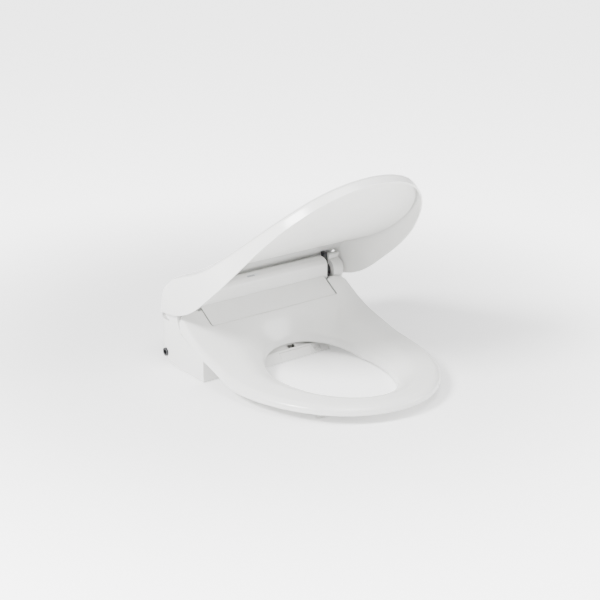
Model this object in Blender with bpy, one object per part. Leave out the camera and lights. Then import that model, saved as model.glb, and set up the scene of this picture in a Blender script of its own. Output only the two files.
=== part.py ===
"""Electric bidet seat: heated seat ring, lid and washing unit on a quick-release mounting plate.

Metres, Z up. The origin is midway between the two bowl bolts, on the bowl's deck. The seat's tip points to -Y.
"""

from math import asin, atan2, cos, pi, radians, sin, sqrt

import bmesh
import bpy
from mathutils import Matrix, Vector

GAP = 0.0004                    # clearance between touching pieces
WALL = 0.0025                   # moulded wall

# Hinge line shared by seat and lid
HINGE_Y = -0.007
HINGE_Z = 0.113
PIN_RADIUS = 0.005
PIN_PLAY = 0.00015
KNUCKLE_RADIUS = 0.0112
LID_OPEN = radians(49)          # lid angle at rest, from closed

# Washing unit
BODY_HALF = 0.1885              # to the outside of a side cover
CENTRE_HALF = 0.1425            # to the joint between centre and side cover
BODY_FRONT = -0.105
BODY_REAR = 0.056
BODY_CORNER = 0.042             # plan radius of the rear corners
BODY_TOP = 0.0995
TRAY_TOP = 0.040
TRAY_STEP = 0.0535              # the tray's wall is higher under the sloped panel
RIM_TOP = 0.107                 # upstand along the rear edge

# Sloped panel
SEAM_Y = -0.066
SEAM_Z = 0.083
PANEL_TOP_Y = -0.0268
PANEL_SLOPE = 0.667
PANEL_THICK = 0.0025
PANEL_HALF = 0.1397
PANEL_GAP = 0.0013
PANEL_SKIRT = 0.011

# Hinge cover
COVER_FRONT = -0.0262
COVER_RADIUS = 0.0285
BARREL_HALF = 0.1495            # the rounded part is wider than the cover below it
BARREL_FOOT = 0.1004
BOSS_INNER = 0.1650             # round bosses of the side covers, outside the hinge arms
BOSS_RADIUS = 0.0297
BOSS_NOSE = 0.0205
GROOVE_Z = 0.083
GROOVE_FRONT = 0.0020
GROOVE_REAR = 0.0335

# Sensor and indicator windows
SENSOR_X = -0.0190
SENSOR_HALF = 0.0115
WINDOW_ARC = (radians(107), radians(115))

# Seat
SEAT_HALF = 0.193
SEAT_WIDEST_Y = -0.183
SEAT_TIP = -0.4295
EAR_HALF = 0.1895
EAR_REAR = -0.0262
HOLE_HALF = 0.0995
HOLE_CENTRE_Y = -0.208
RING_FRONT = 0.0655             # width of the ring at the tip
HOLE_FRONT = SEAT_TIP + RING_FRONT
HOLE_REAR = -0.0935
SEAT_POWER = 2.05
HOLE_POWER = 2.1
SEAM_GAP = 0.0040               # between ear and side cover
SEAM_STEPS = (-0.260, -0.235, -0.218, -0.200, -0.180, -0.159, -0.135, -0.113, -0.105, -0.089, -0.078, -0.067,
              -0.057, -0.048, -0.035)
RIM_HEIGHT = 0.0175             # top of the hole's edge at the front
RIM_WALL = 0.0145               # height of the hole's wall
RIM_KNEE_Y = -0.190
RIM_RISE = 0.215
CROWN = 0.0035                  # ring's crown above its outer shoulder
SEAT_SKIN = 0.0028
SEAT_BASE = 0.0025
SEAT_FOOT = 0.0175              # lower outer edge of the ring above the bowl
SEAT_ROUND = (0.009, 0.018)     # width of the rounding along the outer edge, at the ears and at the tip
SEAT_ROUND_DEPTH = 0.0115
# Height of the ring's outer shoulder, and of the joint between ear and side cover, along Y
SHOULDER = ((-0.44, 0.0290), (-0.25, 0.0295), (-0.193, 0.0325), (-0.147, 0.043), (-0.106, 0.0545),
            (-0.077, 0.068), (-0.046, 0.087), (-0.020, 0.105))
SEAM = ((-0.44, SEAT_FOOT), (-0.235, SEAT_FOOT), (-0.200, 0.0192), (-0.178, 0.0235), (-0.159, 0.0297),
        (-0.139, 0.0365), (-0.113, 0.0430), (-0.089, 0.050), (-0.067, 0.059), (-0.048, 0.067), (-0.033, 0.0745),
        (-0.0285, 0.082), (-0.020, 0.1))

# Lid, drawn closed
LID_HALF = 0.1962
LID_WIDEST_Y = -0.165
LID_TIP = SEAT_TIP - 0.0005
LID_POWER = 2.05
LID_WALL = 0.0029
LID_REAR = 0.0205
LID_MIDDLE = -0.190
LID_LIP_END = radians(86)       # polar angle of the lip's end about the hinge, closed
LID_TOP = ((-0.44, 0.0500), (-0.405, 0.0525), (-0.35, 0.0555), (-0.30, 0.0610), (-0.25, 0.0700), (-0.20, 0.0830),
           (-0.147, 0.1010), (-0.10, 0.1225), (-0.06, 0.1405), (-0.035, 0.1455), (-0.012, 0.1468), (0.022, 0.1462))
LID_RIM = ((-0.44, 0.0325), (-0.30, 0.0330), (-0.25, 0.0335), (-0.21, 0.0365), (-0.174, 0.0410), (-0.132, 0.0490),
           (-0.094, 0.0565), (-0.058, 0.0670), (-0.017, 0.0890), (0.021, 0.1235))
LID_CHEEK = ((-0.044, 0.1450), (-0.021, 0.1425), (-0.002, 0.1365), (0.0195, 0.1225))
LINER_DROP = 0.0022
LINER_THICK = 0.0018
LINER_REAR = -0.078

# Nozzle
NOZZLE_X = 0.0105
NOZZLE_RADIUS = 0.0047
NOZZLE_ANGLE = radians(25)
NOZZLE_CROSS = (-0.112, 0.0040)  # where its line meets the housing's face
NOZZLE_BACKSET = 0.050
NOZZLE_LENGTH = 0.078

# Front lower housing
HOUSING_HALF = 0.085
HOUSING_FOOT = (-0.1165, 0.0004)
HOUSING_BROW = (-0.1040, 0.0160)
HOUSING_BACK = -0.1003
SHUTTER_SPAN = (-0.0235, 0.0445)
SHUTTER_SHARE = (0.04, 0.87)    # up the housing's face
GRILLE_SPAN = (0.0490, 0.0665)

# Mounting plate
PLATE_HALF = 0.100
PLATE_FRONT = -0.045
PLATE_REAR = 0.036
PLATE_THICK = 0.006
BOLT_SPACING = 0.140
BOLT_SLOT = 0.026
BOLT_WIDTH = 0.009

COLOURS = {
    "white": (0.83, 0.83, 0.82, 1), "warm_white": (0.80, 0.80, 0.78, 1), "grey": (0.45, 0.46, 0.47, 1),
    "dark": (0.05, 0.05, 0.055, 1), "steel": (0.62, 0.63, 0.64, 1), "green": (0.04, 0.24, 0.12, 1),
    "copper": (0.72, 0.42, 0.25, 1),
}

# Connections in the side covers
INLET_Y, INLET_Z = 0.0165, 0.0200
INLET_RADIUS = 0.0075
INLET_BORE = 0.0044
GLAND_X, GLAND_Z = 0.160, 0.030
GLAND_RADIUS = 0.0075
CORD_RADIUS = 0.0036
BUTTON_Y, BUTTON_Z = -0.012, 0.035
BUTTON_HALF = (0.011, 0.006)    # along Y and Z
BUTTON_PROUD = 0.0012

# Working parts inside, lower and upper corners
TANK = ((-0.118, -0.052, 0.0190), (-0.030, 0.018, 0.0600))
DUCT = ((0.060, -0.0680, 0.0200), (0.078, -0.0370, 0.0330))
CARTRIDGE = ((0.108, -0.060, 0.0190), (0.136, 0.010, 0.0440))
BOARD = ((-0.060, -0.020, 0.0700), (0.110, 0.024, 0.0716))
MOTOR = ((0.0250, 0.0000, 0.0220), (0.0450, 0.0240, 0.0440))
VALVE = ((-0.172, -0.005, 0.0230), (-0.150, 0.022, 0.0480))
FAN_FOOT = (0.075, -0.010, 0.0200)
FAN_RADIUS = 0.026
FAN_HEIGHT = 0.025
DAMPER_SPAN = (0.0700, 0.1365)
DAMPER_RADIUS = 0.0100
PIN_SPAN = (0.1430, 0.1645)
SEAT_ARM_SPAN = (0.1503, 0.1553)
LID_ARM_SPAN = (0.1560, 0.1640)


def clear_scene():
    for obj in list(bpy.data.objects):
        bpy.data.objects.remove(obj, do_unlink=True)


def material(name, colour, metallic=0.0, roughness=0.4):
    mat = bpy.data.materials.new(name)
    mat.use_nodes = True
    shader = mat.node_tree.nodes["Principled BSDF"]
    shader.inputs["Base Color"].default_value = COLOURS[colour]
    shader.inputs["Metallic"].default_value = metallic
    shader.inputs["Roughness"].default_value = roughness
    return mat


def make(name, verts, faces, colour="white", metallic=0.0, roughness=0.4):
    """A mesh object with outward faces and a material of its own."""
    mesh = bpy.data.meshes.new(name)
    mesh.from_pydata([tuple(v) for v in verts], [], faces)
    bm = bmesh.new()
    bm.from_mesh(mesh)
    bmesh.ops.remove_doubles(bm, verts=bm.verts, dist=1e-6)
    bmesh.ops.recalc_face_normals(bm, faces=bm.faces)
    bm.to_mesh(mesh)
    bm.free()
    obj = bpy.data.objects.new(name, mesh)
    bpy.context.scene.collection.objects.link(obj)
    obj.data.materials.append(material(name, colour, metallic, roughness))
    return obj


def triangulate(mesh):
    """Flat faces only, so that a cut through a curved skin stays closed."""
    bm = bmesh.new()
    bm.from_mesh(mesh)
    bmesh.ops.remove_doubles(bm, verts=bm.verts, dist=2e-6)
    bmesh.ops.triangulate(bm, faces=bm.faces)
    bm.to_mesh(mesh)
    bm.free()


def combine(obj, other, operation):
    """Boolean of obj with other, applied; other is removed."""
    triangulate(obj.data)
    triangulate(other.data)
    modifier = obj.modifiers.new("cut", "BOOLEAN")
    modifier.operation = operation
    modifier.solver = "EXACT"
    modifier.object = other
    bpy.context.view_layer.update()
    result = bpy.data.meshes.new_from_object(obj.evaluated_get(bpy.context.evaluated_depsgraph_get()))
    obj.modifiers.clear()
    kept = obj.data.materials[0]
    obj.data = result
    result.name = obj.name
    result.materials.clear()
    result.materials.append(kept)
    bpy.data.objects.remove(other, do_unlink=True)
    return obj


def cut(obj, *cutters):
    for cutter in cutters:
        combine(obj, cutter, "DIFFERENCE")
    return obj


def prism(name, outline, low, high, axis="X", **look):
    """The closed outline pushed along an axis: (y, z) points along X, (x, y) points along Z."""
    def place(point, level):
        return (level, point[0], point[1]) if axis == "X" else (point[0], point[1], level)
    count = len(outline)
    verts = [place(p, low) for p in outline] + [place(p, high) for p in outline]
    faces = [tuple(range(count))[::-1], tuple(range(count, 2 * count))]
    faces += [(i, (i + 1) % count, count + (i + 1) % count, count + i) for i in range(count)]
    return make(name, verts, faces, **look)


def box(name, low, high, **look):
    outline = [(low[0], low[1]), (high[0], low[1]), (high[0], high[1]), (low[0], high[1])]
    return prism(name, outline, low[2], high[2], "Z", **look)


def turned(name, stations, steps=24, **look):
    """A round bar through (centre, radius) stations that share one line."""
    line = Vector(stations[-1][0]) - Vector(stations[0][0])
    turn = line.to_track_quat("Z", "Y")
    verts, faces = [], [tuple(range(steps))[::-1]]
    for centre, radius in stations:
        for i in range(steps):
            angle = 2 * pi * i / steps
            verts.append(Vector(centre) + turn @ Vector((radius * cos(angle), radius * sin(angle), 0)))
    for r in range(len(stations) - 1):
        for i in range(steps):
            j = (i + 1) % steps
            faces.append((r * steps + i, r * steps + j, (r + 1) * steps + j, (r + 1) * steps + i))
    faces.append(tuple(range((len(stations) - 1) * steps, len(stations) * steps)))
    return make(name, verts, faces, **look)


def rod(name, start, end, radius, steps=24, **look):
    return turned(name, ((start, radius), (end, radius)), steps, **look)


def rounded(points, radii, steps=4):
    """The outline with its corners rounded."""
    result = []
    count = len(points)
    for i, (point, radius) in enumerate(zip(points, radii, strict=True)):
        here = Vector(point)
        before = (Vector(points[i - 1]) - here).normalized()
        after = (Vector(points[(i + 1) % count]) - here).normalized()
        half = before.angle(after) / 2
        if radius <= 0 or abs(half - pi / 2) < 0.02:
            result.append(tuple(here))
            continue
        reach = radius / (sin(half) / cos(half))
        first, last = here + before * reach, here + after * reach
        centre = here + (before + after).normalized() * (radius / sin(half))
        for k in range(steps + 1):
            share = k / steps
            ray = (first - centre).lerp(last - centre, share).normalized()
            result.append(tuple(centre + ray * radius))
    return result


def arc(centre, radius, start, end, steps):
    return [(centre[0] + radius * cos(start + (end - start) * k / steps),
             centre[1] + radius * sin(start + (end - start) * k / steps)) for k in range(steps + 1)]


def inset(points, depth):
    """The outline moved inwards by depth, corner by corner."""
    count = len(points)
    area = sum(points[i][0] * points[(i + 1) % count][1] - points[(i + 1) % count][0] * points[i][1]
               for i in range(count))
    side = 1 if area > 0 else -1
    result = []
    for i in range(count):
        here = Vector(points[i])
        into = (here - Vector(points[i - 1])).normalized()
        out = (Vector(points[(i + 1) % count]) - here).normalized()
        normal_in = Vector((-into.y, into.x)) * side
        normal_out = Vector((-out.y, out.x)) * side
        middle = (normal_in + normal_out).normalized()
        result.append(tuple(here + middle * (depth / max(0.35, middle.dot(normal_in)))))
    return result


def follow(table, y):
    """Smooth curve through the table's (y, z) points."""
    last = len(table) - 1
    if y <= table[0][0]:
        return table[0][1]
    if y >= table[last][0]:
        return table[last][1]
    i = max(k for k in range(last) if table[k][0] <= y)

    def slope(k):
        if k == 0 or k == last:
            return 0.0 if k == 0 else (table[k][1] - table[k - 1][1]) / (table[k][0] - table[k - 1][0])
        left = (table[k][1] - table[k - 1][1]) / (table[k][0] - table[k - 1][0])
        right = (table[k + 1][1] - table[k][1]) / (table[k + 1][0] - table[k][0])
        return 0.0 if left * right <= 0 else 2 * left * right / (left + right)
    width = table[i + 1][0] - table[i][0]
    t = (y - table[i][0]) / width
    return ((2 * t**3 - 3 * t**2 + 1) * table[i][1] + (t**3 - 2 * t**2 + t) * width * slope(i)
            + (3 * t**2 - 2 * t**3) * table[i + 1][1] + (t**3 - t**2) * width * slope(i + 1))


def ease(low, high, value):
    t = min(1.0, max(0.0, (value - low) / (high - low)))
    return t * t * (3 - 2 * t)


def bow(half, front, widest, power, steps):
    """Front half of an egg-shaped outline, from its right side round the tip to its left side."""
    points = []
    for k in range(steps + 1):
        angle = -pi * k / steps
        c, s = cos(angle), sin(angle)
        x = half * abs(c) ** (2 / power) * (1 if c >= 0 else -1)
        points.append((x, widest - (widest - front) * abs(s) ** (2 / power)))
    return points


def ray_hit(outline, centre, angle):
    """Where a ray from centre crosses the closed outline."""
    ray = Vector((cos(angle), sin(angle)))
    best = None
    for i in range(len(outline)):
        a, b = Vector(outline[i - 1]) - Vector(centre), Vector(outline[i]) - Vector(centre)
        edge = b - a
        det = ray.x * -edge.y + ray.y * edge.x
        if abs(det) < 1e-12:
            continue
        far = (a.x * -edge.y + a.y * edge.x) / det
        along = (ray.x * a.y - ray.y * a.x) / det
        if far > 0 and -1e-6 <= along <= 1 + 1e-6 and (best is None or far > best):
            best = far
    return Vector(centre) + ray * best


def loft(name, loops, **look):
    """Closed rings of points, each joined to the next and the last to the first."""
    rings, size = len(loops), len(loops[0])
    verts = [p for ring in loops for p in ring]
    faces = []
    for r in range(rings):
        n = (r + 1) % rings
        for k in range(size):
            m = (k + 1) % size
            faces.append((r * size + k, r * size + m, n * size + m, n * size + k))
    return make(name, verts, faces, **look)


# ---------------------------------------------------------------- seat

def seat_outline():
    front = bow(SEAT_HALF, SEAT_TIP, SEAT_WIDEST_Y, SEAT_POWER, 40)
    rear = []
    for k in range(1, 6):
        y = SEAT_WIDEST_Y + (EAR_REAR - 0.008 - SEAT_WIDEST_Y) * k / 5
        share = (y - SEAT_WIDEST_Y) / (EAR_REAR - SEAT_WIDEST_Y)
        rear.append((SEAT_HALF - (SEAT_HALF - EAR_HALF) * share * share, y))
    corner = arc((EAR_HALF - 0.008, EAR_REAR - 0.008), 0.008, 0.15, pi / 2, 3)
    right = rear + corner
    left = [(-x, y) for x, y in reversed(right)]
    return front[::-1] + right + left


def hole_outline():
    front = bow(HOLE_HALF, HOLE_FRONT, HOLE_CENTRE_Y, HOLE_POWER, 32)
    rear = bow(HOLE_HALF, HOLE_REAR, HOLE_CENTRE_Y, HOLE_POWER, 32)
    return front[::-1] + rear[1:-1]


def hole_edge(y):
    return RIM_HEIGHT + RIM_RISE * max(0.0, y - RIM_KNEE_Y)


def seat_top(x, y, share, edge=1.0):
    """Height of the seat's upper face; share runs from 0 at the hole to 1 outside, edge is the distance from there."""
    side = follow(SHOULDER, y) + CROWN
    plane = SEAM_Z + PANEL_SLOPE * (y - SEAM_Y)
    deck = side + (1 - ease(0.150, 0.192, abs(x))) * max(0.0, plane - side)
    low = hole_edge(y)
    reach = 0.50 - 0.13 * ease(-0.20, -0.12, y)
    t = min(1.0, share / reach)
    width = SEAT_ROUND[1] + (SEAT_ROUND[0] - SEAT_ROUND[1]) * ease(-0.24, -0.10, y)
    fall = 1 - sqrt(max(0.0, 1 - max(0.0, 1 - edge / width) ** 2))
    return low + (deck - low) * (sin(t * pi / 2) * 0.55 + ease(0, 1, t) * 0.45) - SEAT_ROUND_DEPTH * fall


def seat_under(y, share):
    edge = hole_edge(y) - RIM_WALL
    return edge + (follow(SEAM, y) - edge) * ease(0, 0.45, share)


def seam_line(drop):
    """The joint between seat and side cover as (y, z) points, lowered by drop."""
    return [(y, follow(SEAM, y) - drop) for y in SEAM_STEPS]


def trim_to_seam(piece):
    """Gives the outer lower edge of a seat piece the line of the side covers."""
    below = ([(-0.260, -0.05)] + seam_line(0) + [(-0.0298, 0.0811), (EAR_REAR, 0.0905), (EAR_REAR, 0.1),
                                                (0.02, 0.1), (0.02, -0.05)])
    for side in (-1, 1):
        low, high = sorted((side * CENTRE_HALF, side * 0.25))
        cut(piece, prism("below", below, low, high))
    return piece


def seat_rays():
    hole, outer = hole_outline(), seat_outline()
    centre = (0, HOLE_CENTRE_Y)
    ear = atan2(EAR_REAR - HOLE_CENTRE_Y, EAR_HALF)
    notch = atan2(EAR_REAR - HOLE_CENTRE_Y, CENTRE_HALF)
    count = 60
    angles = [2 * pi * k / count - pi / 2 for k in range(count)]
    angles += [ear - 0.02, ear + 0.02, notch, pi - ear - 0.02, pi - ear + 0.02, pi - notch]
    angles = sorted((a + pi / 2) % (2 * pi) - pi / 2 for a in angles)
    return [(ray_hit(hole, centre, a), ray_hit(outer, centre, a)) for a in angles]


def seat_ring(section, name, **look):
    """Lofts a section round the seat. Each section point gives (from, distance or share, height rule)."""
    loops = []
    for inner, outer in seat_rays():
        length = (outer - inner).length
        ring = []
        for start, value, surface, drop in section:
            share = {"in": value / length, "out": 1 - value / length, "at": value}[start]
            point = inner.lerp(outer, share)
            edge = min(1.0, max(0.0, share))
            if surface == "top":
                height = seat_top(point.x, point.y, edge, max(0.0, (1 - share) * length)) - drop
            else:
                height = seat_under(point.y, edge) + drop
                if surface == "edge":
                    height -= 0.002 * ease(-0.26, -0.235, point.y)
            ring.append((point.x, point.y, height))
        loops.append(ring)
    seat = loft(name, loops, **look)
    notch = rounded([(-CENTRE_HALF - GAP, SEAM_Y), (CENTRE_HALF + GAP, SEAM_Y),
                     (CENTRE_HALF + GAP, 0.01), (-CENTRE_HALF - GAP, 0.01)], (0.004, 0.004, 0, 0))
    return cut(seat, prism("notch", notch, 0, 0.2, "Z"))


def build_seat():
    skin = SEAT_SKIN
    section = [("in", 0.0, "under", 0.0), ("in", 0.0, "top", 0.006), ("in", 0.0016, "top", 0.0020),
               ("in", 0.006, "top", 0.0), ("at", 0.18, "top", 0.0), ("at", 0.32, "top", 0.0), ("at", 0.5, "top", 0.0),
               ("at", 0.68, "top", 0.0), ("out", 0.0125, "top", 0.0), ("out", 0.0085, "top", 0.0),
               ("out", 0.0050, "top", 0.0), ("out", 0.0022, "top", 0.0), ("out", 0.0006, "top", 0.0),
               ("out", 0.0, "top", 0.0015), ("out", 0.0, "edge", 0.0), ("out", skin, "edge", 0.0),
               ("out", skin, "top", skin + 0.0012), ("out", 0.0090, "top", skin + 0.0008),
               ("at", 0.68, "top", skin), ("at", 0.5, "top", skin), ("at", 0.32, "top", skin), ("at", 0.18, "top", skin),
               ("in", 0.007, "top", skin + 0.0005), ("in", skin, "top", 0.008), ("in", skin, "under", 0.0)]
    top = seat_ring(section, "seat_top_shell", roughness=0.25)
    floor = SEAT_BASE
    section = [("in", skin + GAP, "under", 0.0), ("in", skin + GAP, "under", floor), ("at", 0.22, "under", floor),
               ("at", 0.45, "under", floor), ("out", skin + GAP, "under", floor), ("out", skin + GAP, "under", 0.0),
               ("at", 0.45, "under", 0.0), ("at", 0.22, "under", 0.0)]
    bottom = seat_ring(section, "seat_bottom_shell", colour="warm_white", roughness=0.45)
    sheet = skin + GAP
    section = [("at", 0.32, "top", sheet + 0.0008), ("at", 0.32, "top", sheet), ("at", 0.5, "top", sheet),
               ("at", 0.68, "top", sheet), ("at", 0.68, "top", sheet + 0.0008), ("at", 0.5, "top", sheet + 0.0008)]
    heater = seat_ring(section, "seat_heater_sheet", colour="copper", metallic=0.6)
    for piece, rear in ((top, EAR_REAR - 0.0002), (bottom, EAR_REAR - skin - 0.001), (heater, EAR_REAR - 0.006)):
        trim_to_seam(cut(piece, box("rear", (-0.25, rear, 0), (0.25, 0.05, 0.2))))
        cut(piece, rod("barrel", (-BARREL_HALF - 0.0006, HINGE_Y, HINGE_Z), (BARREL_HALF + 0.0006, HINGE_Y, HINGE_Z),
                       COVER_RADIUS + 0.0006, 48))


def build_seat_feet():
    """Rubber feet that carry the ring on the bowl."""
    for i, (x, y) in enumerate(((-0.112, -0.338), (0.112, -0.338), (-0.146, -0.250), (0.146, -0.250)), 1):
        angle = atan2(y - HOLE_CENTRE_Y, x)
        inner = ray_hit(hole_outline(), (0, HOLE_CENTRE_Y), angle)
        outer = ray_hit(seat_outline(), (0, HOLE_CENTRE_Y), angle)
        share = (Vector((x, y)) - inner).length / (outer - inner).length
        top = min(seat_under(y + dy, share + ds) for dy in (-0.009, 0, 0.009) for ds in (-0.18, 0, 0.18)) - GAP
        outline = rounded([(x - 0.009, y - 0.0065), (x + 0.009, y - 0.0065), (x + 0.009, y + 0.0065),
                           (x - 0.009, y + 0.0065)], (0.0055,) * 4)
        prism(f"seat_foot_{i}", outline, 0.0002, top, "Z", colour="grey", roughness=0.8)


def hinge_arm(name, side, span, bar):
    """A knuckle round the hinge pin with a bar that reaches the seat or the lid."""
    low, high = sorted(side * x for x in span)
    arm = prism(name, arc((HINGE_Y, HINGE_Z), KNUCKLE_RADIUS, 0, 2 * pi, 24)[:-1], low, high, colour="dark")
    combine(arm, prism("bar", bar, low, high), "UNION")
    return cut(arm, rod("bore", (low - 0.01, HINGE_Y, HINGE_Z), (high + 0.01, HINGE_Y, HINGE_Z), PIN_RADIUS + PIN_PLAY))


def build_seat_arms():
    bar = [(EAR_REAR - 0.0002 + GAP, 0.1010), (HINGE_Y, 0.1025), (HINGE_Y, 0.1100), (EAR_REAR - 0.0002 + GAP, 0.1070)]
    for label, side in (("left", -1), ("right", 1)):
        hinge_arm(f"seat_hinge_arm_{label}", side, SEAT_ARM_SPAN, bar)


# ---------------------------------------------------------------- lid

def lid_outline(shrink=0.0):
    front = bow(LID_HALF - shrink, LID_TIP + shrink, LID_WIDEST_Y, LID_POWER, 40)
    rear = LID_REAR
    corner = [(LID_HALF - shrink, LID_WIDEST_Y + (rear - LID_WIDEST_Y) * k / 5) for k in range(1, 5)]
    right = corner + [(LID_HALF - shrink, rear)]
    left = [(-x, y) for x, y in reversed(right)]
    return front[::-1] + right + left


def lid_top(x, y, edge):
    """Height of the closed lid's upper face; edge is the distance in from its outline."""
    rear = ease(-0.15, -0.05, y)
    soft = 0.022 - 0.012 * rear
    fall = 0.0 if edge >= soft else 1 - sqrt(max(0.0, 1 - (1 - edge / soft) ** 2))
    crown = 0.004 * (1 - min(1.0, abs(x) / LID_HALF) ** 2) * (1 - rear)
    return follow(LID_TOP, y) + crown - (0.0105 - 0.0075 * rear) * fall


def lid_rings(shrink, sink, shares):
    """Rings of points from the middle of the lid outwards, on its upper face moved in and down."""
    outline, full = lid_outline(shrink), lid_outline(0)
    centre = (0, LID_MIDDLE)
    corner = atan2(LID_REAR - centre[1], LID_HALF)
    count = 64
    angles = [2 * pi * k / count - pi / 2 for k in range(count)]
    angles += [corner - 0.02, corner, corner + 0.02, corner + 0.06, pi - corner + 0.02, pi - corner,
               pi - corner - 0.02, pi - corner - 0.06]
    angles = sorted((a + pi / 2) % (2 * pi) - pi / 2 for a in angles)
    rings = []
    for share in shares:
        ring = []
        for angle in angles:
            hit, limit = ray_hit(outline, centre, angle), ray_hit(full, centre, angle)
            point = Vector(centre).lerp(hit, share)
            edge = min((limit - point).length, LID_HALF - abs(point.x))
            ring.append((point.x, point.y, lid_top(point.x, point.y, edge) - sink))
        rings.append(ring)
    return rings


def lid_solid(name, shrink, sink):
    """The lid's volume: upper face and an upright side wall down to a level floor."""
    rings = lid_rings(shrink, sink, (0.25, 0.5, 0.7, 0.82, 0.90, 0.95, 0.98, 0.995, 1.0))
    size = len(rings[0])
    rings.append([(x, y, 0) for x, y, _ in rings[-1]])
    verts = [p for ring in rings for p in ring]
    top = len(verts)
    verts.append((0, LID_MIDDLE, lid_top(0, LID_MIDDLE, 1) - sink))
    faces = [tuple(range(top - size, top))]
    for r in range(len(rings) - 1):
        for k in range(size):
            m = (k + 1) % size
            faces.append((r * size + k, r * size + m, (r + 1) * size + m, (r + 1) * size + k))
    faces += [(top, (k + 1) % size, k) for k in range(size)]
    return make(name, verts, faces, roughness=0.25)


def open_lid(obj):
    """Turns a closed lid piece to the rest position."""
    hinge = Matrix.Translation((0, HINGE_Y, HINGE_Z))
    obj.data.transform(hinge @ Matrix.Rotation(-LID_OPEN, 4, "X") @ hinge.inverted())
    return obj


def sector(radius, start, end):
    """Cutting outline behind the hinge, from one polar angle to another."""
    return [(HINGE_Y, HINGE_Z)] + arc((HINGE_Y, HINGE_Z), radius, start, end, 6)


def build_lid():
    shell = lid_solid("lid_shell", 0, 0)
    cut(shell, lid_solid("inner", LID_WALL, LID_WALL + 0.0004))
    wide = LID_HALF - LID_WALL
    rim = [(y, follow(LID_RIM, y)) for y in (-0.44, -0.30, -0.27, -0.25, -0.23, -0.21, -0.19, -0.17, -0.15,
                                             -0.13, -0.11, -0.09, -0.07, -0.05, -0.03, -0.01, 0.008, 0.021)]
    cut(shell, prism("rim", [(-0.45, -0.02), (-0.45, 0.0325)] + rim + [(0.03, 0.1235), (0.03, -0.02)], -0.21, 0.21))
    cheek = list(LID_CHEEK) + [(0.03, 0.1135), (0.03, 0.2), (-0.06, 0.2), (-0.06, 0.147)]
    cut(shell, prism("lip", sector(0.12, LID_LIP_END, -pi / 2), -wide, wide))
    for side in (-1, 1):
        low, high = sorted((side * (wide - 0.004), side * 0.21))
        cut(shell, prism("cheek", cheek, low, high))
    cut(shell, rod("sweep", (-wide, HINGE_Y, HINGE_Z), (wide, HINGE_Y, HINGE_Z), COVER_RADIUS + 0.002, 48))
    return open_lid(shell)


def build_lid_liner():
    rings = lid_rings(LID_WALL + 0.0012, LID_WALL + 0.0004 + LINER_DROP, (0.3, 0.6, 0.8, 0.9, 0.95, 0.975, 0.99))
    lower = [[(x, y, z - LINER_THICK) for x, y, z in ring] for ring in rings]
    stack = rings + lower[::-1]
    size = len(rings[0])
    verts = [p for ring in stack for p in ring]
    faces = []
    for r in range(len(stack) - 1):
        for k in range(size):
            m = (k + 1) % size
            faces.append((r * size + k, r * size + m, (r + 1) * size + m, (r + 1) * size + k))
    top = len(verts)
    height = lid_top(0, LID_MIDDLE, 1) - LID_WALL - 0.0004 - LINER_DROP
    verts += [(0, LID_MIDDLE, height), (0, LID_MIDDLE, height - LINER_THICK)]
    last = (len(stack) - 1) * size
    for k in range(size):
        m = (k + 1) % size
        faces += [(top, m, k), (top + 1, last + k, last + m)]
    liner = make("lid_liner", verts, faces, colour="warm_white", roughness=0.35)
    cut(liner, box("rear", (-0.3, LINER_REAR, 0), (0.3, 0.1, 0.3)))
    return open_lid(liner)


def build_lid_arms():
    start, reach, half = radians(131), 0.0340, 0.0045
    along = Vector((cos(start), sin(start)))
    across = Vector((-along.y, along.x)) * half
    hinge = Vector((HINGE_Y, HINGE_Z))
    bar = [tuple(hinge - across), tuple(hinge + along * reach - across), tuple(hinge + along * reach + across),
           tuple(hinge + across)]
    for label, side in (("left", -1), ("right", 1)):
        open_lid(hinge_arm(f"lid_hinge_arm_{label}", side, LID_ARM_SPAN, bar))


# ---------------------------------------------------------------- washing unit

def side_profile():
    """Side cover from the side; its front follows the seat's joint."""
    upper = [point for point in seam_line(SEAM_GAP) if point[0] >= BODY_FRONT]
    return ([(BODY_FRONT, 0.0004)] + upper + [(-0.0292, 0.0805), (-0.0250, 0.0900), (-0.0240, BODY_TOP)]
            + [(GROOVE_FRONT, BODY_TOP), (GROOVE_FRONT, GROOVE_Z), (GROOVE_REAR, GROOVE_Z),
               (GROOVE_REAR + 0.0020, 0.0985), (0.0435, BODY_TOP), (0.0455, RIM_TOP), (0.0530, RIM_TOP), (BODY_REAR, RIM_TOP - 0.003),
               (BODY_REAR, 0.0135), (-0.031, 0.0004)])


def plan(shrink):
    """Outline of the washing unit from above."""
    half, rear = BODY_HALF - shrink, BODY_REAR - shrink
    return rounded([(-half, BODY_FRONT - 0.02), (half, BODY_FRONT - 0.02), (half, rear), (-half, rear)],
                   (0, 0, BODY_CORNER - shrink, BODY_CORNER - shrink), 8)


def build_side_cover(label, side):
    outline = side_profile()
    low, high = sorted((side * (CENTRE_HALF + GAP), side * BODY_HALF))
    cover = prism(f"side_cover_{label}", outline, low, high, roughness=0.25)
    combine(cover, prism("plan", plan(0), -0.01, 0.2, "Z"), "INTERSECT")
    low, high = sorted((side * (CENTRE_HALF - 0.01), side * (BODY_HALF - WALL)))
    hollow = prism("hollow", inset(outline, WALL), low, high)
    combine(hollow, prism("plan", plan(WALL), -0.01, 0.2, "Z"), "INTERSECT")
    cut(cover, hollow)
    nose = arc((HINGE_Y, HINGE_Z), BOSS_NOSE, radians(100), radians(230), 12)
    boss = arc((HINGE_Y, HINGE_Z), BOSS_RADIUS, radians(-78), radians(102), 20) + nose
    low, high = sorted((side * BOSS_INNER, side * BODY_HALF))
    return combine(cover, prism("boss", boss, low, high), "UNION")


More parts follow.
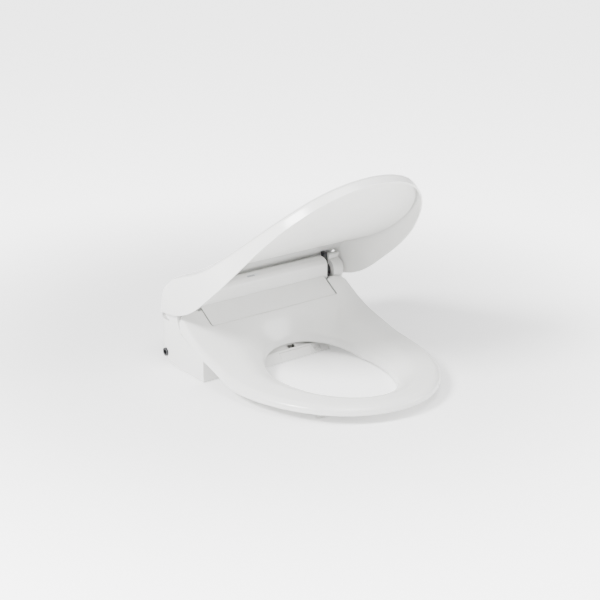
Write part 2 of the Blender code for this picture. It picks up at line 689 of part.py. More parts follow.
def build_tray():
    outer = [(-0.1000, 0.0004), (-0.1000, 0.0120), (-0.0965, 0.0160), (-0.0890, 0.0215), (-0.0830, 0.0320),
             (-0.0720, 0.0480), (-0.0672, 0.0530), (-0.0672, TRAY_STEP), (0.0, TRAY_STEP),
             (0.0, TRAY_TOP), (BODY_REAR, TRAY_TOP), (BODY_REAR, 0.0135), (-0.031, 0.0004)]
    tray = prism("base_tray", outer, -CENTRE_HALF, CENTRE_HALF, colour="warm_white")
    inner = [(-0.0975, 0.0029), (-0.0975, 0.0110), (-0.0950, 0.0142), (-0.0870, 0.0205), (-0.0808, 0.0310),
             (-0.0700, 0.0465), (-0.0645, 0.0520), (-0.0645, 0.08), (BODY_REAR - WALL, 0.08),
             (BODY_REAR - WALL, 0.0165), (-0.031, 0.0029)]
    cut(tray, prism("hollow", inner, -CENTRE_HALF + WALL, CENTRE_HALF - WALL))
    above = NOZZLE_RADIUS / cos(NOZZLE_ANGLE) + 0.0008
    roof = [(y, NOZZLE_CROSS[1] + (y - NOZZLE_CROSS[0]) * sin(NOZZLE_ANGLE) / cos(NOZZLE_ANGLE) + above)
            for y in (-0.11, -0.080)]
    cut(tray, prism("nozzle_way", [(-0.11, -0.01)] + roof + [(-0.080, -0.01)], NOZZLE_X - 0.0085, NOZZLE_X + 0.0085))
    cut(tray, box("plate_bay", (-PLATE_HALF - 0.0015, PLATE_FRONT - 0.0015, -0.01),
                  (PLATE_HALF + 0.0015, 0.1, PLATE_THICK + 0.0006)))
    bay = prism("bay", [(PLATE_FRONT - 0.004, 0.0015), (PLATE_FRONT - 0.004, PLATE_THICK + 0.0031),
                        (BODY_REAR, PLATE_THICK + 0.0031 + 0.012), (BODY_REAR, 0.0150), (-0.031, 0.0015)],
                -PLATE_HALF - 0.004, PLATE_HALF + 0.004)
    cut(bay, box("below", (-PLATE_HALF - 0.0015, PLATE_FRONT - 0.0015, -0.01),
                 (PLATE_HALF + 0.0015, 0.1, PLATE_THICK + 0.0006)))
    combine(tray, bay, "UNION")
    return tray


def cover_profile(radius, front, end, rear):
    """The hinge cover from the side: front face, arc about the hinge down to a polar angle, then the rear points."""
    top = pi - atan2(sqrt(radius ** 2 - (HINGE_Y - front) ** 2), HINGE_Y - front)
    face_top = HINGE_Z + radius * sin(top)
    return ([(front, face_top - 0.0055), (front + 0.0012, face_top - 0.0015)]
            + arc((HINGE_Y, HINGE_Z), radius, top - 0.22, end, 18) + rear)


def build_top_cover():
    rear = [(GROOVE_REAR, GROOVE_Z), (GROOVE_REAR + 0.0020, 0.0985), (0.0435, BODY_TOP + 0.0005), (0.0455, RIM_TOP),
            (0.0530, RIM_TOP), (BODY_REAR, RIM_TOP - 0.003), (BODY_REAR, TRAY_TOP + GAP), (GAP, TRAY_TOP + GAP),
            (GAP, TRAY_STEP + GAP), (COVER_FRONT, TRAY_STEP + GAP)]
    outer = cover_profile(COVER_RADIUS, COVER_FRONT, -pi / 2, rear)
    cover = prism("top_cover", outer, -CENTRE_HALF, CENTRE_HALF, roughness=0.25)
    thin = WALL
    end = radians(-100)
    rear = [(HINGE_Y + (COVER_RADIUS - thin) * cos(end), GROOVE_Z - thin), (GROOVE_REAR - thin, GROOVE_Z - thin),
            (GROOVE_REAR - thin + 0.0020, 0.0985 - thin), (GROOVE_REAR + thin, 0.0980), (0.0460, 0.0985),
            (0.0475, RIM_TOP - thin), (0.0520, RIM_TOP - thin), (BODY_REAR - thin, RIM_TOP - 0.0042),
            (BODY_REAR - thin, 0.02), (COVER_FRONT - 0.01, 0.02), (COVER_FRONT - 0.01, 0.1060),
            (COVER_FRONT + thin, 0.1060)]
    inner = cover_profile(COVER_RADIUS - thin, COVER_FRONT + thin, end, rear)
    combine(cover, prism("barrel", barrel_profile(0), -BARREL_HALF, BARREL_HALF), "UNION")
    cut(cover, prism("hollow", inner, -CENTRE_HALF + thin, CENTRE_HALF - thin))
    cut(cover, prism("barrel", barrel_profile(thin), -BARREL_HALF + thin, BARREL_HALF - thin))
    cut(cover, prism("window", window_profile(0.003, 0.010), SENSOR_X - SENSOR_HALF - 0.0003,
                     SENSOR_X + SENSOR_HALF + 0.0003))
    cut(cover, rod("pin", (-0.2, HINGE_Y, HINGE_Z), (0.2, HINGE_Y, HINGE_Z), PIN_RADIUS + 0.0003, 20))
    return cover


def barrel_profile(depth):
    """The rounded part of the hinge cover alone, moved inwards by depth."""
    radius, front, foot = COVER_RADIUS - depth, COVER_FRONT + depth, BARREL_FOOT + depth
    top = pi - atan2(sqrt(radius ** 2 - (HINGE_Y - front) ** 2), HINGE_Y - front)
    face_top = HINGE_Z + radius * sin(top)
    return ([(front, foot), (front, face_top - 0.0055), (front + 0.0012, face_top - 0.0015)]
            + arc((HINGE_Y, HINGE_Z), radius, top - 0.22, -asin((HINGE_Z - foot) / radius), 18))


def window_profile(depth, spare=0.0):
    """Strip along the cover's upper front, as thick as depth; spare widens it for the cutter."""
    low, high = WINDOW_ARC[0] - spare, WINDOW_ARC[1] + spare
    outer = arc((HINGE_Y, HINGE_Z), COVER_RADIUS + 0.0001 + spare, low, high, 4)
    return outer + arc((HINGE_Y, HINGE_Z), COVER_RADIUS - depth, low, high, 4)[::-1]


def build_windows():
    split = SENSOR_X + 0.0045
    strip = window_profile(0.0016)
    prism("sensor_window", strip, SENSOR_X - SENSOR_HALF, split - 0.0004, colour="grey", roughness=0.1)
    prism("indicator_window", strip, split + 0.0004, SENSOR_X + SENSOR_HALF, colour="warm_white", roughness=0.1)


def build_panel():
    slope = Vector((1, PANEL_SLOPE)).normalized()
    foot = Vector((SEAM_Y + PANEL_GAP, SEAM_Z))
    length = (PANEL_TOP_Y - foot.x) / slope.x
    head = foot + slope * length
    deep = PANEL_SKIRT / slope.x
    outline = [tuple(foot), tuple(head), (head.x, head.y - deep), (foot.x + PANEL_THICK, foot.y - deep),
               (foot.x + PANEL_THICK, TRAY_STEP + GAP), (foot.x, TRAY_STEP + GAP)]
    panel = prism("front_panel", outline, -PANEL_HALF, PANEL_HALF, roughness=0.25)
    under = [(foot.x + PANEL_THICK, foot.y - PANEL_THICK * 0.8), (head.x + 0.01, head.y + 0.005 - PANEL_THICK / slope.x),
             (head.x + 0.01, 0.0), (foot.x + PANEL_THICK, 0.0)]
    cut(panel, prism("under", under, -PANEL_HALF + PANEL_THICK, PANEL_HALF - PANEL_THICK))
    keep = rounded([(-PANEL_HALF, foot.x), (PANEL_HALF, foot.x), (PANEL_HALF, 0.02), (-PANEL_HALF, 0.02)],
                   (0.0035, 0.0035, 0, 0))
    return combine(panel, prism("keep", keep, -0.01, 0.21, "Z"), "INTERSECT")


def housing_line(offset):
    """The housing's sloped face moved inwards."""
    foot, brow = Vector(HOUSING_FOOT), Vector(HOUSING_BROW)
    inward = Vector(((brow - foot).y, -(brow - foot).x)).normalized() * offset
    return foot + inward, brow + inward


def build_housing():
    foot, brow = Vector(HOUSING_FOOT), Vector(HOUSING_BROW)
    wall = 0.0018
    outer = [tuple(foot), (foot.x, foot.y + 0.0006), tuple(brow), (brow.x + 0.0022, brow.y + 0.0009),
             (HOUSING_BACK, brow.y + 0.0009), (HOUSING_BACK, foot.y)]
    housing = prism("nozzle_housing", outer, -HOUSING_HALF, HOUSING_HALF, roughness=0.3)
    low, high = housing_line(wall)
    inner = [(low.x + 0.0004, -0.01), tuple(low), (high.x, high.y), (high.x + 0.002, brow.y + 0.0009 - wall),
             (0.0, brow.y + 0.0009 - wall), (0.0, -0.01)]
    cut(housing, prism("hollow", inner, -HOUSING_HALF + wall, HOUSING_HALF - wall))
    for span in (SHUTTER_SPAN, GRILLE_SPAN):
        start, end = housing_line(-0.003)
        run = (end - start)
        begin, stop = start - run * 0.2, start + run * 0.90
        deep_start, _ = housing_line(0.0045)
        opening = [tuple(begin), tuple(stop), tuple(deep_start + run * 0.90), tuple(deep_start - run * 0.2)]
        cut(housing, prism("opening", opening, span[0] - 0.0004, span[1] + 0.0004))
    return housing


def face_plate(name, span, inner, outer, start_share, stop_share, **look):
    """A plate lying in the housing's face."""
    top, deep = housing_line(outer), housing_line(inner)
    run = top[1] - top[0]
    outline = [tuple(top[0] + run * start_share), tuple(top[0] + run * stop_share),
               tuple(deep[0] + run * stop_share), tuple(deep[0] + run * start_share)]
    return prism(name, outline, span[0], span[1], **look)


def build_shutter():
    face_plate("nozzle_shutter", SHUTTER_SPAN, 0.0015, 0.0, *SHUTTER_SHARE, roughness=0.25)


def build_grille():
    grille = face_plate("deodoriser_grille", GRILLE_SPAN, 0.0015, 0.0, *SHUTTER_SHARE, colour="grey", roughness=0.5)
    width = GRILLE_SPAN[1] - GRILLE_SPAN[0]
    for k in range(5):
        x = GRILLE_SPAN[0] + width * (k + 0.6) / 5.2
        cut(grille, face_plate("slot", (x, x + 0.0017), 0.004, -0.004, 0.14, 0.77))


def nozzle_point(distance, side=0.0):
    """A point on the nozzle's line, measured inwards from the housing's face."""
    along = Vector((0, cos(NOZZLE_ANGLE), sin(NOZZLE_ANGLE)))
    up = Vector((0, -sin(NOZZLE_ANGLE), cos(NOZZLE_ANGLE)))
    return Vector((NOZZLE_X, NOZZLE_CROSS[0], NOZZLE_CROSS[1])) + along * distance + up * side


def build_nozzle():
    tip = NOZZLE_BACKSET
    rod("nozzle_tube", nozzle_point(tip + 0.016), nozzle_point(tip + NOZZLE_LENGTH), NOZZLE_RADIUS - 0.0004, 24,
        colour="steel", metallic=0.9, roughness=0.2)
    head = turned("nozzle_tip", ((nozzle_point(tip + 0.016 - GAP), NOZZLE_RADIUS),
                                 (nozzle_point(tip + 0.002), NOZZLE_RADIUS), (nozzle_point(tip), 0.0036)))
    for k in range(3):
        at = tip + 0.0045 + 0.0032 * k
        cut(head, rod("jet", nozzle_point(at, 0.0030), nozzle_point(at, 0.0080), 0.0007, 10))
    width, clear = 0.0075, NOZZLE_RADIUS + 0.0005
    guide = []
    for across, level in ((-width, -clear - 0.0018), (width, -clear - 0.0018), (width, 0.0015), (clear, 0.0015),
                          (clear, -clear), (-clear, -clear), (-clear, 0.0015), (-width, 0.0015)):
        guide.append((across, level))
    start, end = 0.026, NOZZLE_BACKSET + NOZZLE_LENGTH - 0.004
    verts = []
    for distance in (start, end):
        for across, level in guide:
            verts.append(nozzle_point(distance, level) + Vector((across, 0, 0)))
    count = len(guide)
    faces = [(i, (i + 1) % count, count + (i + 1) % count, count + i) for i in range(count)]
    faces += [(0, 5, 6, 7), (0, 1, 4, 5), (1, 2, 3, 4), (8, 15, 14, 13), (8, 13, 12, 9), (9, 12, 11, 10)]
    make("nozzle_guide", verts, faces, colour="grey", roughness=0.5)


def build_inside():
    """Working parts on the tray's floor."""
    (x1, y1, z1), (x2, y2, z2) = TANK
    tank = rounded([(x1, y1), (x2, y1), (x2, y2), (x1, y2)], (0.012,) * 4, 5)
    prism("heater_tank", tank, z1, z2, "Z", colour="grey", roughness=0.5)
    x, y, z = FAN_FOOT
    rod("dryer_fan", FAN_FOOT, (x, y, z + FAN_HEIGHT), FAN_RADIUS, 32, colour="dark", roughness=0.5)
    box("fan_duct", *DUCT, colour="dark", roughness=0.5)
    box("deodoriser_cartridge", *CARTRIDGE, colour="grey", roughness=0.7)
    box("circuit_board", *BOARD, colour="green", roughness=0.4)
    box("nozzle_motor", *MOTOR, colour="dark", roughness=0.4)
    valve = box("inlet_valve", *VALVE, colour="dark", roughness=0.5)
    x, y, z = (VALVE[0][0] + VALVE[1][0]) / 2, (VALVE[0][1] + VALVE[1][1]) / 2, VALVE[1][2]
    combine(valve, rod("coil", (x, y, z - 0.001), (x, y, z + 0.016), 0.0085, 20), "UNION")


def build_hinge_parts():
    for label, side in (("left", -1), ("right", 1)):
        start, end = [(side * x, HINGE_Y, HINGE_Z) for x in PIN_SPAN]
        rod(f"hinge_pin_{label}", start, end, PIN_RADIUS, 24, colour="steel", metallic=0.9, roughness=0.25)
    for label, side in (("seat", -1), ("lid", 1)):
        start, end = [(side * x, HINGE_Y, HINGE_Z) for x in DAMPER_SPAN]
        rod(f"{label}_damper", start, end, DAMPER_RADIUS, 24, colour="dark", roughness=0.3)


def build_connections(left_cover, right_cover):
    y, z = INLET_Y, INLET_Z
    cut(left_cover, rod("hole", (-BODY_HALF - 0.01, y, z), (-0.17, y, z), INLET_RADIUS + GAP, 28))
    inlet = rod("water_inlet", (-BODY_HALF - 0.0025, y, z), (-0.1735, y, z), INLET_RADIUS, 28, colour="dark")
    cut(inlet, rod("bore", (-BODY_HALF - 0.01, y, z), (-0.1765, y, z), INLET_BORE, 20))
    x, z = GLAND_X, GLAND_Z
    cut(right_cover, rod("hole", (x, 0.04, z), (x, 0.09, z), GLAND_RADIUS + GAP, 24))
    gland = rod("cord_gland", (x, BODY_REAR - 0.012, z), (x, BODY_REAR + 0.004, z), GLAND_RADIUS, 24, colour="dark",
                roughness=0.7)
    cut(gland, rod("bore", (x, BODY_REAR - 0.009, z), (x, 0.09, z), CORD_RADIUS, 16))
    long, tall = BUTTON_HALF
    outline = rounded([(BUTTON_Y - long, BUTTON_Z - tall), (BUTTON_Y + long, BUTTON_Z - tall),
                       (BUTTON_Y + long, BUTTON_Z + tall), (BUTTON_Y - long, BUTTON_Z + tall)], (0.0055,) * 4, 5)
    cut(right_cover, prism("hole", inset(outline, -GAP), 0.18, 0.2))
    prism("release_button", outline, 0.1790, BODY_HALF + BUTTON_PROUD, colour="warm_white", roughness=0.3)


def build_mounting_plate():
    outline = rounded([(-PLATE_HALF, PLATE_FRONT), (PLATE_HALF, PLATE_FRONT), (PLATE_HALF, PLATE_REAR),
                       (-PLATE_HALF, PLATE_REAR)], (0.006,) * 4)
    plate = prism("mounting_plate", outline, 0, PLATE_THICK, "Z", colour="grey", roughness=0.5)
    for side in (-1, 1):
        x, reach, half = side * BOLT_SPACING / 2, BOLT_SLOT / 2, BOLT_WIDTH / 2
        slot = rounded([(x - half, -reach), (x + half, -reach), (x + half, reach), (x - half, reach)],
                       (half * 0.98,) * 4, 5)
        cut(plate, prism("slot", slot, -0.01, 0.02, "Z"))
        recess = rounded([(x - half * 2, -reach - 0.006), (x + half * 2, -reach - 0.006),
                          (x + half * 2, reach + 0.006), (x - half * 2, reach + 0.006)], (half,) * 4, 5)
        cut(plate, prism("recess", recess, PLATE_THICK - 0.0025, 0.02, "Z"))
    return plate


def build_tray_screws(tray):
    places = ((-0.122, -0.085), (0.122, -0.085), (-0.122, -0.040), (0.122, -0.040))
    for i, (x, y) in enumerate(places, 1):
        cut(tray, rod("pocket", (x, y, -0.005), (x, y, 0.0022), 0.0036, 16))
        screw = rod(f"tray_screw_{i}", (x, y, 0.0007), (x, y, 0.0019), 0.0031, 16, colour="steel", metallic=0.9)
        cut(screw, box("slot", (x - 0.0022, y - 0.0004, 0), (x + 0.0022, y + 0.0004, 0.0012)))


def build_pivots():
    """Empties on the joints' axes carry the moving pieces."""
    hinge = (0, HINGE_Y, HINGE_Z)
    shutter = housing_line(0)
    shutter = shutter[0] + (shutter[1] - shutter[0]) * SHUTTER_SHARE[1]
    groups = (("seat_pivot", hinge, ("seat_top", "seat_bottom", "seat_heater", "seat_foot", "seat_hinge")),
              ("lid_pivot", hinge, ("lid_shell", "lid_liner", "lid_hinge")),
              ("nozzle_pivot", nozzle_point(NOZZLE_BACKSET), ("nozzle_tube", "nozzle_tip")),
              ("shutter_pivot", (NOZZLE_X, *shutter), ("nozzle_shutter",)),
              ("button_pivot", (BODY_HALF, BUTTON_Y, BUTTON_Z), ("release_button",)))
    pieces = list(bpy.data.objects)
    for name, place, starts in groups:
        pivot = bpy.data.objects.new(name, None)
        bpy.context.scene.collection.objects.link(pivot)
        pivot.location = place
        for piece in pieces:
            if piece.name.startswith(starts):
                piece.parent = pivot
                piece.matrix_parent_inverse = Matrix.Translation(place).inverted()


def main():
    clear_scene()
    build_mounting_plate()
    tray = build_tray()
    build_tray_screws(tray)
    left, right = build_side_cover("left", -1), build_side_cover("right", 1)
    build_connections(left, right)
    build_top_cover()
    build_windows()
    build_panel()
    build_housing()
    build_shutter()
    build_grille()
    build_nozzle()
    build_inside()
    build_hinge_parts()
    build_seat()
    build_seat_arms()
    build_seat_feet()
    build_lid()
    build_lid_liner()
    build_lid_arms()
    build_pivots()


main()
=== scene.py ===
"""Electric bidet seat with its lid half open, on a pale studio floor."""

import math

import bpy
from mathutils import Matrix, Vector


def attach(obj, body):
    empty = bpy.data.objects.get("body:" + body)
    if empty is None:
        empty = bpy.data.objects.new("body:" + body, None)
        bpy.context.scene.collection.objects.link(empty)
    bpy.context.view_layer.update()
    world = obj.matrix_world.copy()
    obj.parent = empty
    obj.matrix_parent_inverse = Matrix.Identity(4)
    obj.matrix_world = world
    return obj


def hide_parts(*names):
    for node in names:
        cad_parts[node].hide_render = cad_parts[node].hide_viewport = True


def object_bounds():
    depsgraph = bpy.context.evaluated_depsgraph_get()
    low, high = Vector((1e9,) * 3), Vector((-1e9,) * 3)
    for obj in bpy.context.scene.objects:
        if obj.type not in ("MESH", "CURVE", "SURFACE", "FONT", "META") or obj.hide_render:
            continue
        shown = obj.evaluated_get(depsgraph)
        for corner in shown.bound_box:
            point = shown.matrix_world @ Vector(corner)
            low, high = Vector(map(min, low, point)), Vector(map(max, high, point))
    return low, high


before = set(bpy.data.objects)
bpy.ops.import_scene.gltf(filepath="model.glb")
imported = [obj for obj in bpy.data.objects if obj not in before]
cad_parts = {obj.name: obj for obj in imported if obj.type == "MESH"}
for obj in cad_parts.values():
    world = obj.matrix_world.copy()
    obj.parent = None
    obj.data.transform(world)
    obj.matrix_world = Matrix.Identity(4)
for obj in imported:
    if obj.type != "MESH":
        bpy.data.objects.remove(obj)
CAD_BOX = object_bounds()

bl_info = {
    "name": "Electric bidet seat",
    "version": (1, 0, 0),
    "blender": (4, 5, 0),
    "location": "3D View > Sidebar > Bidet seat",
    "description": "Finishes and studio stage for an electric bidet seat",
    "category": "Object",
}

MM = 0.001
TONE_PATCH_MM = 110.0     # a moulding's colour drifts over about a hand's width
GLOSS_PATCH_MM = 17.0     # wiping and handling leave patches of gloss about a fingertip wide
TURNING_MM = 0.33         # turning marks, drawn coarser than real ones so that they show
PAPER_GRAIN_MM = 2.5
PAPER_DEPTH = 0.2 * MM
PLASTIC_IOR = 1.49
MERGE_MM = 0.01           # corners this close are one corner
FLAT_ANGLE = math.radians(0.4)      # faces of one flat are joined before the edges are rounded
EDGE_ANGLE = math.radians(38)       # sharper edges than this are rounded
EDGE_STEPS = 3
SMOOTH_ANGLE = math.radians(40)

# Pieces with a glossy outside, drawn again with soft edges: name, node, body, edge radius in mm
GLOSSY = (
    ("lid_skin", "lid_shell", "lid", 0.5),
    ("seat_skin", "seat_top_shell", "seat", 0.4),
    ("side_cover_left_skin", "side_cover_left", "washing_unit", 0.6),
    ("side_cover_right_skin", "side_cover_right", "washing_unit", 0.6),
    ("hinge_cover_skin", "top_cover", "washing_unit", 0.5),
    ("sloped_panel_skin", "front_panel", "washing_unit", 0.5),
    ("housing_skin", "nozzle_housing", "washing_unit", 0.4),
    ("shutter_flap", "nozzle_shutter", "shutter", 0.35),
    ("button_cap", "release_button", "button", 0.8),
)


class SizeSettings(bpy.types.PropertyGroup):
    """Sizes of the finish that a user would change."""

    edge: bpy.props.FloatProperty(
        name="Edge radius", description="Softness of moulded edges, as a share of the drawn radius",
        default=1.0, min=0.2, max=2.0, subtype="FACTOR")
    floor: bpy.props.FloatProperty(
        name="Floor", description="Width of the floor", default=14.0, unit="LENGTH")


class ColourSettings(bpy.types.PropertyGroup):
    """Colours of the finish that a user would change."""

    white: bpy.props.StringProperty(
        name="Gloss white", description="Lid, seat and covers", default="#E0E0DE")
    satin: bpy.props.StringProperty(
        name="Satin white", description="Liner, tray and undersides", default="#DADAD7")
    grey: bpy.props.StringProperty(
        name="Grey", description="Plate and inner housings", default="#A9ABAC")


def linear(code):
    """Linear RGBA of an sRGB hex colour."""
    parts = [int(code[i:i + 2], 16) / 255 for i in (1, 3, 5)]
    return (*(p / 12.92 if p <= 0.04045 else ((p + 0.055) / 1.055) ** 2.4 for p in parts), 1.0)


def add_node(tree, kind, settings=(), **inputs):
    """Adds a shader node; an input given an output socket is linked, any other is set.

    An input is named with _ for a space, or as _0, _1 by its number.
    """
    node = tree.nodes.new(kind)
    for name, value in dict(settings).items():
        setattr(node, name, value)
    for name, value in inputs.items():
        key = int(name[1:]) if name[0] == "_" else name.replace("_", " ")
        socket = node.inputs[key]
        if isinstance(value, bpy.types.NodeSocket):
            tree.links.new(value, socket)
        else:
            socket.default_value = value
    return node


def new_material(name):
    """An empty material with its Principled shader and the object's own coordinates."""
    material = bpy.data.materials.new(name)
    material.use_nodes = True
    tree = material.node_tree
    place = add_node(tree, "ShaderNodeTexCoord").outputs["Object"]
    return material, tree, tree.nodes["Principled BSDF"], place


def moulded(name, code, roughness, spread, grain_mm, depth_mm, tone=0.02):
    """Moulded plastic: patches of other tone and gloss, and the waviness or grain of the mould."""
    material, tree, shader, place = new_material(name)
    colour = linear(code)
    slow = add_node(tree, "ShaderNodeTexNoise", Vector=place, Scale=1 / (TONE_PATCH_MM * MM),
                    Detail=3.0, Roughness=0.6)
    tint = add_node(tree, "ShaderNodeValToRGB", Fac=slow.outputs["Fac"])
    low, high = tint.color_ramp.elements
    low.position, high.position = 0.3, 0.7
    low.color = tuple(c * (1 - tone) for c in colour[:3]) + (1,)
    high.color = tuple(min(1, c * (1 + tone)) for c in colour[:3]) + (1,)
    tree.links.new(tint.outputs["Color"], shader.inputs["Base Color"])
    mark = add_node(tree, "ShaderNodeTexNoise", Vector=place, Scale=1 / (GLOSS_PATCH_MM * MM),
                    Detail=5.0, Roughness=0.7)
    gloss = add_node(tree, "ShaderNodeMapRange", Value=mark.outputs["Fac"], From_Min=0.3,
                     From_Max=0.7, To_Min=roughness - spread, To_Max=roughness + spread)
    tree.links.new(gloss.outputs["Result"], shader.inputs["Roughness"])
    grain = add_node(tree, "ShaderNodeTexNoise", Vector=place, Scale=1 / (grain_mm * MM),
                     Detail=2.0)
    bump = add_node(tree, "ShaderNodeBump", Strength=0.6, Distance=depth_mm * MM,
                    Height=grain.outputs["Fac"])
    tree.links.new(bump.outputs["Normal"], shader.inputs["Normal"])
    shader.inputs["IOR"].default_value = PLASTIC_IOR
    return material


def steel(name, code, roughness):
    """Polished steel with fine turning marks."""
    material, tree, shader, place = new_material(name)
    along = 1 / (TURNING_MM * MM)
    stretch = add_node(tree, "ShaderNodeMapping", Vector=place,
                       Scale=(along, along / 50, along / 50))
    lines = add_node(tree, "ShaderNodeTexNoise", Vector=stretch.outputs["Vector"], Scale=1.0,
                     Detail=3.0)
    gloss = add_node(tree, "ShaderNodeMapRange", Value=lines.outputs["Fac"],
                     To_Min=roughness - 0.08, To_Max=roughness + 0.1)
    tree.links.new(gloss.outputs["Result"], shader.inputs["Roughness"])
    shader.inputs["Base Color"].default_value = linear(code)
    shader.inputs["Metallic"].default_value = 1.0
    return material


def dress(node, material):
    """Gives a piece of the frame its finish."""
    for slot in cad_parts[node].material_slots:
        slot.material = material


def deselect():
    if bpy.context.object and bpy.context.object.mode != "OBJECT":
        bpy.ops.object.mode_set(mode="OBJECT")
    bpy.ops.object.select_all(action="DESELECT")


def activate(obj):
    deselect()
    obj.select_set(True)
    bpy.context.view_layer.objects.active = obj


def copy_of(node, name):
    """A merged copy of a CAD piece's mesh as a new piece."""
    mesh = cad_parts[node].data.copy()
    mesh.name = name
    piece = bpy.data.objects.new(name, mesh)
    bpy.context.scene.collection.objects.link(piece)
    activate(piece)
    bpy.ops.object.mode_set(mode="EDIT")
    bpy.ops.mesh.select_all(action="SELECT")
    bpy.ops.mesh.remove_doubles(threshold=MERGE_MM * MM)
    bpy.ops.mesh.dissolve_limited(angle_limit=FLAT_ANGLE)
    bpy.ops.object.mode_set(mode="OBJECT")
    return piece


def soft_edges(piece, radius):
    """Rounds the sharp edges of a moulded piece and shades the rest smooth."""
    bevel = piece.modifiers.new("edges", "BEVEL")
    bevel.width = radius
    bevel.segments = EDGE_STEPS
    bevel.limit_method = "ANGLE"
    bevel.angle_limit = EDGE_ANGLE
    bevel.harden_normals = False
    activate(piece)
    bpy.ops.object.modifier_apply(modifier="edges")
    bpy.ops.object.shade_smooth_by_angle(angle=SMOOTH_ANGLE)
    normals = piece.modifiers.new("normals", "WEIGHTED_NORMAL")
    normals.keep_sharp = True
    bpy.ops.object.modifier_apply(modifier="normals")


class BIDET_OT_glossy_skins(bpy.types.Operator):
    """Draws the glossy outside pieces with softly rounded edges"""

    bl_idname = "bidet.glossy_skins"
    bl_label = "Lid, seat and covers"

    def execute(self, context):
        # Polished polypropylene: a slightly waxy gloss with the mould's slow waviness
        white = context.scene.bidet_colours.white
        finish = moulded("Gloss moulded polypropylene, white", white, 0.2, 0.03, 3.0, 0.003)
        for name, node, body, radius in GLOSSY:
            piece = copy_of(node, name)
            piece.data.materials.clear()
            piece.data.materials.append(finish)
            soft_edges(piece, radius * MM * context.scene.bidet_sizes.edge)
            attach(piece, body)
            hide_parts(node)
        return {"FINISHED"}


class BIDET_OT_finishes(bpy.types.Operator):
    """Gives every other piece its finish"""

    bl_idname = "bidet.finishes"
    bl_label = "Finishes"

    def execute(self, context):
        colours = context.scene.bidet_colours
        # Polished moulds give the covers a clear, soft reflection
        gloss = moulded("Gloss moulded ABS, white", colours.white, 0.22, 0.03, 3.0, 0.004)
        # A spark-eroded mould gives the liner and undersides a fine even grain
        satin = moulded("Satin moulded polypropylene, white", colours.satin, 0.42, 0.05, 0.8, 0.01)
        # Unseen structural mouldings: flat grey with a coarser grain
        grey = moulded("Matt moulded polypropylene, grey", colours.grey, 0.5, 0.06, 0.8, 0.015)
        # Glass fibre at the surface breaks up the gloss. On the water inlet and the hinge arms this
        # dark finish is partly painted shade, for the dark bore of the inlet and the shaded gap
        # under the lid's rear.
        black_and_painted_shade = moulded("Glass-filled nylon, black", "#202123", 0.45, 0.06, 0.7, 0.02)
        # Silicone is dull and faintly uneven
        rubber = moulded("Moulded silicone rubber, pale grey", "#D9D9D6", 0.7, 0.05, 0.5, 0.02)
        # Nearly mirror-smooth, a shade darker than the cover round it
        tinted = moulded("Tinted acrylic, pale grey", "#A9ADB0", 0.1, 0.02, 4.0, 0.001)
        # The lamp window's back is roughened, so it looks milky
        frosted = moulded("Frosted acrylic", "#D3D6D9", 0.3, 0.05, 0.6, 0.01)
        # Lacquer over woven glass: green with the weave's mottling
        board = moulded("Glass-epoxy board, green lacquer", "#1D6B3C", 0.3, 0.05, 1.2, 0.02, 0.2)
        # Crinkled laminate foil
        foil = moulded("Aluminium laminate foil, silver grey", "#B9BBBD", 0.35, 0.08, 1.5, 0.02)
        pin = steel("Turned stainless steel", "#C9CBCC", 0.22)
        finishes = (
            (rubber, ("seat_foot",)),
            (satin, ("lid_liner", "base_tray", "seat_bottom_shell", "nozzle_guide")),
            (grey, ("mounting_plate", "heater_tank", "deodoriser_cartridge")),
            # Water inlet and hinge arms: dark partly as painted shade of the inlet's bore and of
            # the gap under the lid
            (black_and_painted_shade, ("dryer_fan", "fan_duct", "nozzle_motor", "inlet_valve", "water_inlet",
                     "seat_damper", "lid_damper", "cord_gland", "seat_hinge_arm",
                     "lid_hinge_arm")),
            (pin, ("hinge_pin", "tray_screw", "nozzle_tube")),
            (tinted, ("sensor_window",)),
            (frosted, ("indicator_window",)),
            (board, ("circuit_board",)),
            (foil, ("seat_heater_sheet",)),
        )
        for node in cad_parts:
            matches = [finish for finish, starts in finishes if node.startswith(starts)]
            dress(node, matches[0] if matches else gloss)
        return {"FINISHED"}


# Pale floor: it shines less towards the object, which paints a soft shadow round it
FLOOR_GLOW = 3.2
PAINTED_SHADOW_NEAR, PAINTED_SHADOW_FAR = 0.3, 1.1
FLOOR_GAP = 0.5 * MM
FLOOR_TONE = 0.9
WORLD = 0.45
# Lamps of the studio: name, place, aim, width and power
LIGHTS = (
    ("key", (-2.1, -0.2, 1.9), (0, -0.2, 0.1), 0.9, 190),
    ("front fill", (1.9, -2.0, 1.0), (0, -0.1, 0.2), 1.6, 70),
    ("top", (-0.3, -1.2, 2.6), (0, -0.2, 0.0), 1.6, 75),
)
CAMERA_PLACE = (-1.3467, -1.8935, 0.9215)
CAMERA_AIM = (-0.0344, -0.1808, 0.1419)
CAMERA_LENS = 79.3


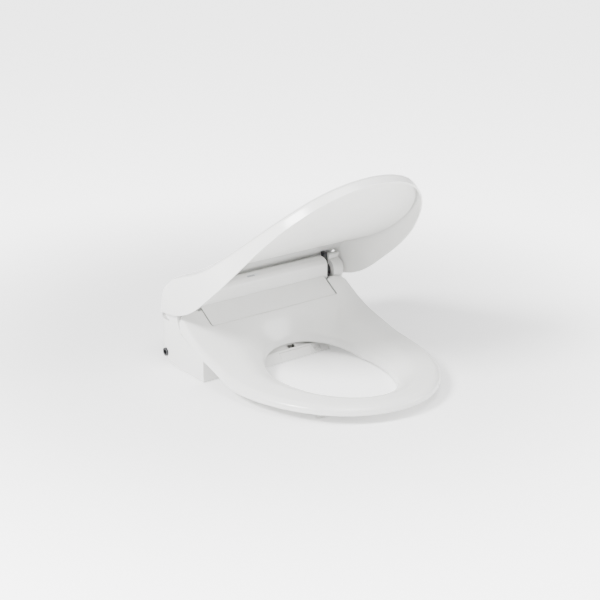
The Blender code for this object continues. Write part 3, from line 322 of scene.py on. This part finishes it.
class BIDET_OT_stage(bpy.types.Operator):
    """Makes the pale floor, the soft studio lights and the camera"""

    bl_idname = "bidet.stage"
    bl_label = "Stage"

    def execute(self, context):
        deselect()
        size = context.scene.bidet_sizes.floor
        bpy.ops.mesh.primitive_plane_add(size=size, location=(0, 0, CAD_BOX[0][2] - FLOOR_GAP))
        floor = context.object
        floor.name = "floor"
        material, tree, shader, place = new_material("Matt white paper sweep")
        grain = add_node(tree, "ShaderNodeTexNoise", Vector=place,
                         Scale=1 / (PAPER_GRAIN_MM * MM), Detail=3.0)
        bump = add_node(tree, "ShaderNodeBump", Strength=0.1, Distance=PAPER_DEPTH,
                        Height=grain.outputs["Fac"])
        tree.links.new(bump.outputs["Normal"], shader.inputs["Normal"])
        shader.inputs["Base Color"].default_value = (FLOOR_TONE, FLOOR_TONE, FLOOR_TONE, 1)
        shader.inputs["Roughness"].default_value = 0.9
        shader.inputs["Emission Color"].default_value = (1, 1, 1, 1)
        # Painted shadow: near the object the floor shines at a tenth of its strength
        reach = add_node(tree, "ShaderNodeVectorMath", {"operation": "LENGTH"}, _0=place)
        glow_with_painted_shadow = add_node(tree, "ShaderNodeMapRange", {"interpolation_type": "SMOOTHSTEP"},
                        Value=reach.outputs["Value"], From_Min=PAINTED_SHADOW_NEAR, From_Max=PAINTED_SHADOW_FAR,
                        To_Min=0.1 * FLOOR_GLOW, To_Max=FLOOR_GLOW)
        tree.links.new(glow_with_painted_shadow.outputs["Result"], shader.inputs["Emission Strength"])
        floor.data.materials.append(material)
        for name, place, aim, width, watts in LIGHTS:
            lamp = bpy.data.lights.new(name, "AREA")
            lamp.shape, lamp.size, lamp.energy = "DISK", width, watts
            holder = bpy.data.objects.new(name, lamp)
            context.scene.collection.objects.link(holder)
            holder.location = place
            towards = Vector(aim) - Vector(place)
            holder.rotation_euler = towards.to_track_quat("-Z", "Y").to_euler()
        world = context.scene.world or bpy.data.worlds.new("studio")
        context.scene.world = world
        world.use_nodes = True
        back = world.node_tree.nodes["Background"]
        back.inputs["Color"].default_value = (1, 1, 1, 1)
        back.inputs["Strength"].default_value = WORLD
        camera = bpy.data.cameras.new("camera")
        camera.lens, camera.sensor_width = CAMERA_LENS, 36
        camera.clip_start, camera.clip_end = 0.05, 50
        holder = bpy.data.objects.new("camera", camera)
        context.scene.collection.objects.link(holder)
        stand, aim = Vector(CAMERA_PLACE), Vector(CAMERA_AIM)
        holder.location = stand
        holder.rotation_euler = (aim - stand).to_track_quat("-Z", "Y").to_euler()
        context.scene.camera = holder
        return {"FINISHED"}


class BIDET_PT_panel(bpy.types.Panel):
    """Sidebar panel"""

    bl_idname = "BIDET_PT_panel"
    bl_label = "Bidet seat"
    bl_space_type = "VIEW_3D"
    bl_region_type = "UI"
    bl_category = "Bidet seat"

    def draw(self, context):
        for group in (context.scene.bidet_sizes, context.scene.bidet_colours):
            for name in group.__annotations__:
                self.layout.prop(group, name)
        for operator in OPERATORS:
            self.layout.operator(operator.bl_idname)


OPERATORS = (BIDET_OT_glossy_skins, BIDET_OT_finishes, BIDET_OT_stage)
CLASSES = (SizeSettings, ColourSettings, *OPERATORS, BIDET_PT_panel)


def register():
    for cls in CLASSES:
        bpy.utils.register_class(cls)
    bpy.types.Scene.bidet_sizes = bpy.props.PointerProperty(type=SizeSettings)
    bpy.types.Scene.bidet_colours = bpy.props.PointerProperty(type=ColourSettings)


def unregister():
    del bpy.types.Scene.bidet_colours
    del bpy.types.Scene.bidet_sizes
    for cls in reversed(CLASSES):
        bpy.utils.unregister_class(cls)


def main():
    register()
    bpy.ops.bidet.glossy_skins()
    bpy.ops.bidet.finishes()
    bpy.ops.bidet.stage()


if __name__ == "__main__":
    main()
